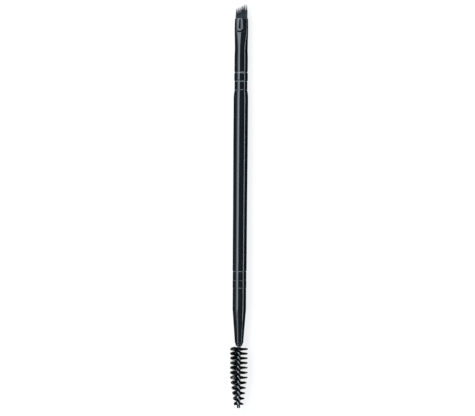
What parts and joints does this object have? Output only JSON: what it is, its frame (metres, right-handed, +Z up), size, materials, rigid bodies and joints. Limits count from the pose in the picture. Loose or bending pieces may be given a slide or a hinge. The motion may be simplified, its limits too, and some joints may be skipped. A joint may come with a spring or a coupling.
{
  "type": "eyebrow brush",
  "caption": "Double-ended eyebrow brush: slim black lacquered handle, flat angled tuft in a crimped ferrule, and a twisted-wire spoolie in a tapered ferrule.",
  "frame": {"origin": "on the surface the brush lies on, under the middle of its bounding box", "axes": "+Y along the brush from the spoolie to the angled tuft, +Z up from the surface, +X across, towards the tuft's longer side"},
  "size_m": [0.0076, 0.17, 0.0076],
  "materials": {
    "black_lacquered_wood": "turned birch under a gloss black lacquer",
    "black_aluminium": "thin aluminium tube, gloss black coated",
    "brow_hair": "fine dark synthetic hair, slightly silky",
    "clear_resin": "cured amber resin",
    "plug_plastic": "moulded black plastic",
    "steel_wire": "bright drawn steel wire",
    "black_nylon": "black nylon filaments"
  },
  "bodies": {
    "root": {"handle": "black_lacquered_wood", "brush_ferrule": "black_aluminium", "spoolie_ferrule": "black_aluminium", "angled_tuft": "brow_hair", "tuft_glue": "clear_resin", "wire_plug": "plug_plastic", "twisted_wire": "steel_wire", "spoolie_bristles": "black_nylon"}
  },
  "joints": []
}
